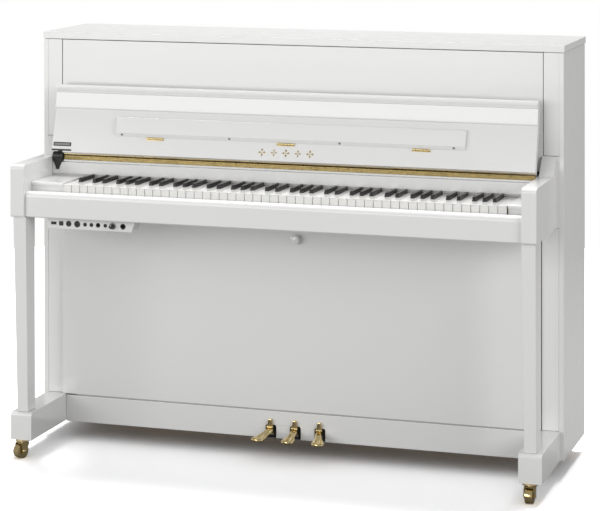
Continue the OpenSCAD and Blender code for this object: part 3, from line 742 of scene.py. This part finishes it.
class PIANO_OT_damper(bpy.types.Operator):
    """Build the soft-fall damper at the bass end of the hinge"""
    bl_idname = "piano.damper"
    bl_label = "Soft-fall damper"

    def execute(self, context):
        lo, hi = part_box("damper_arm")
        pivot = pivot_of("fallboard_close")
        r = 12 * MM
        kit = Kit()
        kit.turned([(0, lo.x), (r * 0.9, lo.x), (r, lo.x + 1 * MM), (r, lo.x + 22 * MM),
                    (r * 0.93, lo.x + 22.5 * MM), (r * 0.93, lo.x + 24 * MM), (r, lo.x + 24.5 * MM),
                    (r, hi.x - 1 * MM), (r * 0.9, hi.x), (r * 0.45, hi.x), (r * 0.4, hi.x - 0.6 * MM),
                    (0, hi.x - 0.6 * MM)], (0, pivot.y, pivot.z), 0, 40, "u")
        # the foot runs down from the barrel and narrows like a funnel
        rings = []
        for t in (0.0, 0.15, 0.35, 0.55, 0.75, 0.92, 1.0):
            z = pivot.z - 6 * MM - t * (pivot.z - 6 * MM - lo.z)
            ease = t * t * (3 - 2 * t)
            x0 = lo.x + 1 * MM + 9 * MM * ease
            x1 = hi.x - 1 * MM - 9.5 * MM * ease
            y0 = pivot.y - (10.6 - 0.8 * t) * MM
            y1 = pivot.y - 6.2 * MM
            rings.append([(x, y, z) for x, y in rounded_rect(x0, x1, y0, y1, 1.6 * MM, 4)])
        kit.loft(rings, 0)
        kit.at = front_frame()
        screw(kit, lo.x + 13.5 * MM, pivot.z - 24 * MM, -(pivot.y - 10.2 * MM), 2.6 * MM, 1, 0, 0.9)
        kit.done("soft_fall_damper", "case", ["black_plastic", "dark_steel"], ["damper_arm"])
        return {"FINISHED"}


class PIANO_OT_headphone_box(bpy.types.Operator):
    """Add the sockets, buttons and knob of the headphone box"""
    bl_idname = "piano.headphone_box"
    bl_label = "Headphone box"

    def execute(self, context):
        face = -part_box("control_box")[0].y
        z = SOCKET_HEIGHT
        kit = Kit(front_frame())
        sockets = ((-570, 8), (-545, 9), (-522, 5.5), (-503.5, 5.5), (-484, 6.5), (-463, 5.2), (-412, 8))
        for x, r in sockets:
            ro = (r - 0.25) * MM
            ri = ro * 0.52
            kit.turned([(ri, face - 2.9 * MM), (ro, face - 2.9 * MM), (ro, face + 0.25 * MM),
                        (ro - 0.5 * MM, face + 0.7 * MM), (ri + 0.8 * MM, face + 0.7 * MM),
                        (ri, face + 0.1 * MM), (ri, face - 2.9 * MM)], (x * MM, z, 0), 0, 32)
            if x not in (-484, -412):
                kit.turned([(0, face - 2.8 * MM), (ri, face - 2.8 * MM), (ri * 0.96, face - 0.6 * MM),
                            (ri * 0.8, face - 0.3 * MM), (0, face - 0.3 * MM)], (x * MM, z, 0), 1, 24)
        kit.prism(rounded_rect(-621.5 * MM, -606.5 * MM, z - 3.5 * MM, z + 3.5 * MM, 1 * MM), face - 7 * MM,
                  face - 0.6 * MM, 0, 0.3 * MM)
        kit.prism(rounded_rect(-617 * MM, -611 * MM, z - 2 * MM, z + 2 * MM, 0.6 * MM), face - 0.8 * MM,
                  face + 1.6 * MM, 0, 0.4 * MM)
        kit.prism(rounded_rect(-598 * MM, -586 * MM, z - 5.5 * MM, z + 5.5 * MM, 1.2 * MM), face - 7 * MM,
                  face + 0.4 * MM, 0, 0.4 * MM)
        kit.prism(rounded_rect(-595 * MM, -589 * MM, z - 3 * MM, z + 3 * MM, 0.4 * MM), face + 0.3 * MM,
                  face + 0.8 * MM, 1, 0.1 * MM)
        kit.done("box_sockets", "case", ["black_plastic", "dark_steel"])
        kit = Kit(front_frame())
        x = pivot_of("volume_turn").x
        kit.turned([(4.2 * MM, face), (9 * MM, face), (9 * MM, face + 1.2 * MM), (8.2 * MM, face + 1.8 * MM),
                    (4.2 * MM, face + 1.8 * MM), (4.2 * MM, face)], (x, z, 0), 0, 36)
        kit.done("volume_collar", "case", ["grey_plastic"], ())
        kit = Kit(front_frame())
        rings = []
        for r, a in ((3.3, -9.5), (3.3, 2.2), (5.6, 2.3), (6.3, 3.2), (6.0, 11.0), (5.5, 13.4),
                     (4.6, 13.9), (0, 13.7)):
            ring = []
            for k in range(72):
                t = 2 * math.pi * k / 72
                flute = 0.35 * (0.5 + 0.5 * math.cos(24 * t)) if 3.0 < a < 12 else 0.0
                rr = max(r - flute, 0.01) * MM
                ring.append((x + rr * math.cos(t), z + rr * math.sin(t), face + a * MM))
            rings.append(ring)
        kit.loft(rings, 0)
        kit.block((x - 0.4 * MM, z + 1 * MM, face + 13.6 * MM),
                  (x + 0.4 * MM, z + 5.2 * MM, face + 13.98 * MM), 1)
        kit.done("volume_button", "volume_knob", ["black_plastic", "box_white"], ["volume_knob"])
        return {"FINISHED"}


def pedal_toe(kit, cx, splay, y_front, y_neck):
    """The cast foot: two soft lobes at the toe running back into a stout fluted neck."""
    rings = []
    rows = 34
    for k in range(rows + 1):
        t = 1 - (1 - k / rows) ** 1.7
        y = y_neck + (y_front - y_neck) * t
        ahead = (y - y_front) / MM
        shift = splay * MM * (1 - math.cos(math.pi * min(1, t * 1.05))) / 2
        wide = 9.2 + 8.8 / (1 + math.exp(-(t - 0.58) * 12))
        if ahead < 8:
            wide *= 0.6 + 0.4 * math.sqrt(max(0.0, 1 - ((8 - ahead) / 8) ** 2))
        z_top = 77 - 13.5 / (1 + math.exp(-(t - 0.40) * 8))
        z_low = 61 - 9.0 / (1 + math.exp(-(t - 0.42) * 8))
        if ahead < 6:
            pinch = ((6 - ahead) / 6) ** 2
            z_top -= 4.2 * pinch
            z_low += 3.4 * pinch
        lobe = 1 / (1 + math.exp(-(t - 0.62) * 14))
        ring = []
        for i in range(36):
            a = 2 * math.pi * i / 36
            c, s = math.cos(a), math.sin(a)
            x = wide * math.copysign(abs(c) ** 0.75, c)
            z = (z_top + z_low) / 2 + (z_top - z_low) / 2 * math.copysign(abs(s) ** 0.85, s)
            flute = math.exp(-(x / (3.6 + 1.6 * lobe)) ** 2)
            if s > 0:
                z -= (1.6 + 2.2 * lobe) * flute
            y_in = 4.4 * flute * max(0.0, 1 - ahead / 10)
            ring.append((cx + shift + x * MM, y + y_in * MM, z * MM))
        rings.append(ring)
    kit.loft(rings, 0)


def pedal_tongue(kit, cx, y_back):
    """The upright arched plate with a sunk panel and a collar at its foot; the panel is darker brass, painted
    shade.
    """
    def arch(grow, foot):
        pts = [(cx - (8.4 + grow) * MM, foot * MM), (cx + (8.4 + grow) * MM, foot * MM)]
        return pts + arc(cx, 94 * MM, (5.6 + grow) * MM, -8, 188, 18)

    near = -y_back
    kit.prism(arch(0, 60), near, near + 5.4 * MM, 0, 0.8 * MM, 3)
    inner = arch(-2.4, 77)
    outer = arch(0, 77)
    rim = [[(u, v, near + w * MM) for u, v in pts]
           for pts, w in ((outer, 5), (outer, 7.6), (inner, 8), (inner, 5.6))]
    kit.take(skin(rim, capped=False), 0, 0.45 * MM, 2, 50)
    # the sunk panel takes the second finish, darker brass as painted shade
    kit.prism(arch(-2.2, 77.5), near + 5.2 * MM, near + 6.0 * MM, 1)
    kit.prism(rounded_rect(cx - 9.6 * MM, cx + 9.6 * MM, 75.5 * MM, 80.5 * MM, 2 * MM), near - 0.4 * MM,
              near + 10.5 * MM, 0, 1.4 * MM, 3)


class PIANO_OT_pedals(bpy.types.Operator):
    """Build the three cast brass pedals"""
    bl_idname = "piano.pedals"
    bl_label = "Pedals"

    def execute(self, context):
        for name, splay in (("left", -15), ("middle", 0), ("right", 15)):
            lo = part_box("pedal_" + name)[0]
            pivot = pivot_of("pedal_%s_press" % name)
            cx = pivot.x
            y_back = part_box("pedal_rail")[0].y - 1 * MM
            kit = Kit()
            pedal_toe(kit, cx, splay, lo.y + 0.3 * MM, y_back - 1.5 * MM)
            kit.block((cx - 6.6 * MM, y_back - 2 * MM, 60.5 * MM), (cx + 6.6 * MM, pivot.y, 71.5 * MM), 0,
                      1.2 * MM)
            kit.turned([(7.0 * MM, cx - 7 * MM), (8 * MM, cx - 6 * MM), (8 * MM, cx + 6 * MM),
                        (7.0 * MM, cx + 7 * MM)], (0, pivot.y, pivot.z), 0, 28, "u")
            kit.at = front_frame()
            pedal_tongue(kit, cx, y_back)
            kit.done("pedal_cast_" + name, "pedal_" + name, ["brass", "brass_shade"], ["pedal_" + name])
        # black felt blocks in the slots, open round each pedal's bar, painting the shade inside the slots
        kit = Kit()
        y0, y1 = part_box("pedal_rail")[0].y + 3 * MM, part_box("pedal_rail")[0].y + 6 * MM
        for name in ("left", "middle", "right"):
            cx = pivot_of("pedal_%s_press" % name).x
            for x0, x1, z0, z1 in ((-15.6, -7.2, 46.4, 77.5), (7.2, 15.6, 46.4, 77.5),
                                   (-7.8, 7.8, 46.4, 54.0), (-7.8, 7.8, 77.5, 82.5)):
                kit.block((cx + x0 * MM, y0, z0 * MM), (cx + x1 * MM, y1, z1 * MM), 0)
        kit.done("pedal_slot_painted_shade", "case", ["black_felt"], ())
        return {"FINISHED"}


class PIANO_OT_felt_strips(bpy.types.Operator):
    """Line the gaps under the name board and under the lower panel"""
    bl_idname = "piano.felt_strips"
    bl_label = "Felt strips"

    def execute(self, context):
        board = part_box("name_board")
        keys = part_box("keys_c")
        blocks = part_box("key_blocks")
        kit = Kit()
        y0, y1 = board[0].y + 3 * MM, board[0].y + 8 * MM
        z1 = board[0].z + 0.6 * MM
        left, pitch = key_layout()[:2]
        right = left + WHITE_COUNT * pitch
        kit.block((left, y0, keys[1].z + 0.7 * MM), (right, y1, z1), 0)
        for x0, x1 in ((board[0].x + 1 * MM, left), (right, board[1].x - 1 * MM)):
            kit.block((x0, y0, blocks[1].z - 0.2 * MM), (x1, y1, z1), 0)
        kit.done("name_board_felt", "case", ["pale_felt"], ())
        rail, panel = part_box("pedal_rail"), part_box("lower_panel")
        kit = Kit()
        kit.block((rail[0].x + 30 * MM, rail[0].y + 6 * MM, rail[1].z - 0.2 * MM),
                  (rail[1].x - 30 * MM, rail[0].y + 14 * MM, panel[0].z - 0.7 * MM), 0)
        kit.done("panel_seat_felt", "case", ["pale_felt"], ())
        return {"FINISHED"}


class PIANO_OT_panel_knob(bpy.types.Operator):
    """Build the clear turned knob of the lower panel"""
    bl_idname = "piano.panel_knob"
    bl_label = "Panel knob"

    def execute(self, context):
        lo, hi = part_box("panel_knob")
        cx, cz = (lo.x + hi.x) / 2, (lo.z + hi.z) / 2
        face = -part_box("lower_panel")[0].y
        kit = Kit(front_frame())
        kit.turned([(0, face), (9.5 * MM, face), (9.5 * MM, face + 1.5 * MM), (8 * MM, face + 2.4 * MM),
                    (7 * MM, face + 6 * MM), (6.8 * MM, face + 9 * MM), (8.8 * MM, face + 10.5 * MM),
                    (12.2 * MM, face + 12.5 * MM), (13.4 * MM, face + 15.5 * MM), (13.2 * MM, face + 18 * MM),
                    (11.6 * MM, face + 20.4 * MM), (8.5 * MM, face + 21.4 * MM), (7.6 * MM, face + 20.9 * MM),
                    (6.4 * MM, face + 21.3 * MM), (0, face + 22 * MM)], (cx, cz, 0), 0, 48)
        kit.done("panel_pull", "lower_panel", ["clear_knob"], ["panel_knob"])
        return {"FINISHED"}


class PIANO_OT_lid_hinge(bpy.types.Operator):
    """Build the long rear hinge of the lid with its screws"""
    bl_idname = "piano.lid_hinge"
    bl_label = "Lid hinge"

    def execute(self, context):
        d = context.scene.piano_detail
        lo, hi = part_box("lid_hinge")
        pin = pivot_of("lid_open")
        kit = Kit()
        knuckled_pin(kit, lo.x, hi.x, 40 * MM, 1.8 * MM, (pin.y, pin.z))
        kit.at = back_frame()
        face = pin.y - 1 * MM
        kit.prism(rounded_rect(-hi.x + 4 * MM, -lo.x - 4 * MM, lo.z, pin.z, 0.6 * MM, 2), face - 1.8 * MM,
                   face, 0, 0.2 * MM)
        count = 12
        for k in range(count):
            u = lo.x + 40 * MM + (hi.x - lo.x - 80 * MM) * k / (count - 1)
            screw(kit, u, lo.z + 9 * MM, face, d.screw, 0, 1, k * 0.9)
        kit.done("lid_hinge_leaf", "case", ["brass", "brass_shade"], ["lid_hinge"])
        return {"FINISHED"}


class PIANO_OT_casters(bpy.types.Operator):
    """Add axle caps to the casters"""
    bl_idname = "piano.casters"
    bl_label = "Caster fittings"

    def execute(self, context):
        for side in ("left", "right"):
            axle = JOINTS["wheel_%s_roll" % side]
            at = Vector(axle["pos_m"])
            along = Vector(axle["axis"])
            turn = Matrix.Translation(at) @ along.to_track_quat("Z", "Y").to_matrix().to_4x4()
            kit = Kit(turn)
            for s in (-1, 1):
                a = s * 14.6 * MM
                kit.turned([(3.3 * MM, a), (4.4 * MM, a), (4.2 * MM, a + s * 1.2 * MM),
                            (2.6 * MM, a + s * 2.1 * MM), (0, a + s * 2.3 * MM)], (0, 0, 0), 0, 24)
            kit.done("caster_caps_" + side, "caster_" + side, ["brass"])
        return {"FINISHED"}


def show_to_camera(tree, lit, seen, output):
    """Let the camera see one shader while every other ray meets the other."""
    path = tree.nodes.new("ShaderNodeLightPath")
    mix = tree.nodes.new("ShaderNodeMixShader")
    tree.links.new(path.outputs["Is Camera Ray"], mix.inputs["Fac"])
    tree.links.new(lit.outputs[0], mix.inputs[1])
    tree.links.new(seen.outputs[0], mix.inputs[2])
    tree.links.new(mix.outputs["Shader"], tree.nodes[output].inputs["Surface"])


class PIANO_OT_studio(bpy.types.Operator):
    """Set the pale floor, soft lights and camera"""
    bl_idname = "piano.studio"
    bl_label = "Studio"

    def execute(self, context):
        st = context.scene.piano_studio
        scene = context.scene
        scene.view_settings.view_transform = "Standard"
        mesh = bpy.data.meshes.new("studio_floor")
        edge = arc(0, 0, 3.4, 0, 360, 96)[:-1]
        mesh.from_pydata([(x, y, 0) for x, y in edge], [], [range(len(edge))])
        floor = bpy.data.objects.new("studio_floor", mesh)
        scene.collection.objects.link(floor)
        mat = bpy.data.materials.new("pale_floor")
        mat.use_nodes = True
        tree = mat.node_tree
        tree.nodes.remove(tree.nodes["Principled BSDF"])
        bounce, seen = (tree.nodes.new("ShaderNodeBsdfDiffuse") for _ in range(2))
        bounce.inputs["Color"].default_value = (st.floor, st.floor, st.floor, 1)
        seen.inputs["Color"].default_value = (0.74, 0.74, 0.75, 1)
        twice, thrice = (tree.nodes.new("ShaderNodeAddShader") for _ in range(2))
        tree.links.new(seen.outputs["BSDF"], twice.inputs[0])
        tree.links.new(seen.outputs["BSDF"], twice.inputs[1])
        tree.links.new(twice.outputs["Shader"], thrice.inputs[0])
        tree.links.new(seen.outputs["BSDF"], thrice.inputs[1])
        show_to_camera(tree, bounce, thrice, "Material Output")
        mesh.materials.append(mat)

        world = bpy.data.worlds.new("white_room")
        world.use_nodes = True
        tree = world.node_tree
        lit = tree.nodes["Background"]
        lit.inputs["Color"].default_value = (1, 1, 1, 1)
        lit.inputs["Strength"].default_value = st.room
        seen = tree.nodes.new("ShaderNodeBackground")
        seen.inputs["Color"].default_value = (1, 1, 1, 1)
        seen.inputs["Strength"].default_value = 1.0
        show_to_camera(tree, lit, seen, "World Output")
        scene.world = world

        def softbox(name, at, aim, wide, high, power):
            data = bpy.data.lights.new(name, "AREA")
            data.shape = "RECTANGLE"
            data.size, data.size_y, data.energy = wide, high, power
            lamp = bpy.data.objects.new(name, data)
            scene.collection.objects.link(lamp)
            lamp.location = at
            lamp.rotation_mode = "QUATERNION"
            lamp.rotation_quaternion = (Vector(aim) - Vector(at)).to_track_quat("-Z", "Y")
            return lamp

        softbox("ceiling_box", (-0.3, 1.3, 4.2), (0, 0.1, 0), 3.6, 1.8, st.overhead)
        fill = softbox("front_box", (-3.2, -5.6, 1.75), (-0.2, 0, 0.8), 6.4, 3.0, st.front)
        rim = softbox("side_box", (5.0, -3.0, 2.6), (0, 0, 1.2), 3.0, 2.4, st.side)

        # the front and side boxes are flagged off the floor, so the shadow stays deep
        flag = bpy.data.collections.new("floor_flag")
        flag.objects.link(floor)
        for lamp in (fill, rim):
            lamp.light_linking.receiver_collection = flag
        flag.collection_objects[0].light_linking.link_state = "EXCLUDE"

        # the lens looks down while its film stays upright, so the uprights stay parallel; the
        # slant sits in the tripod's link and not in the lens, so other views start out plain
        cam = bpy.data.objects.new("camera", bpy.data.cameras.new("camera"))
        tripod = bpy.data.objects.new("tripod", None)
        for obj in (cam, tripod):
            scene.collection.objects.link(obj)
        s_az, c_az = math.sin(st.azimuth), math.cos(st.azimuth)
        s_t, c_t = math.sin(st.tilt), math.cos(st.tilt)
        slant = Matrix(((c_az, 0, s_az * c_t, st.camera_at[0]), (s_az, 0, -c_az * c_t, st.camera_at[1]),
                        (0, 1, s_t, st.camera_at[2]), (0, 0, 0, 1)))
        cam.parent = tripod
        cam.matrix_parent_inverse = slant
        cam.data.lens = st.lens
        cam.data.sensor_width = 36.0
        cam.data.clip_end = 60
        scene.camera = cam
        return {"FINISHED"}


class PIANO_PT_panel(bpy.types.Panel):
    bl_label = "White upright piano"
    bl_idname = "PIANO_PT_panel"
    bl_space_type = "VIEW_3D"
    bl_region_type = "UI"
    bl_category = "Piano"

    def draw(self, context):
        for group in ("piano_finish", "piano_detail", "piano_studio"):
            box = self.layout.box()
            settings = getattr(context.scene, group)
            for key in settings.bl_rna.properties.keys():
                if key not in ("rna_type", "name"):
                    box.prop(settings, key)
        for op in OPERATORS:
            self.layout.operator(op.bl_idname)


OPERATORS = [PIANO_OT_finishes, PIANO_OT_keys, PIANO_OT_fallboard_hinge, PIANO_OT_fallboard_trim,
             PIANO_OT_shelf_trim, PIANO_OT_damper, PIANO_OT_headphone_box, PIANO_OT_pedals,
             PIANO_OT_felt_strips, PIANO_OT_panel_knob, PIANO_OT_lid_hinge, PIANO_OT_casters, PIANO_OT_studio]
CLASSES = [PianoFinish, PianoDetail, PianoStudio] + OPERATORS + [PIANO_PT_panel]


def register():
    for cls in CLASSES:
        bpy.utils.register_class(cls)
    bpy.types.Scene.piano_finish = PointerProperty(type=PianoFinish)
    bpy.types.Scene.piano_detail = PointerProperty(type=PianoDetail)
    bpy.types.Scene.piano_studio = PointerProperty(type=PianoStudio)


def unregister():
    for name in ("piano_finish", "piano_detail", "piano_studio"):
        delattr(bpy.types.Scene, name)
    for cls in reversed(CLASSES):
        bpy.utils.unregister_class(cls)


def main():
    register()
    for op in OPERATORS:
        group, name = op.bl_idname.split(".")
        getattr(getattr(bpy.ops, group), name)()


if __name__ == "__main__":
    main()
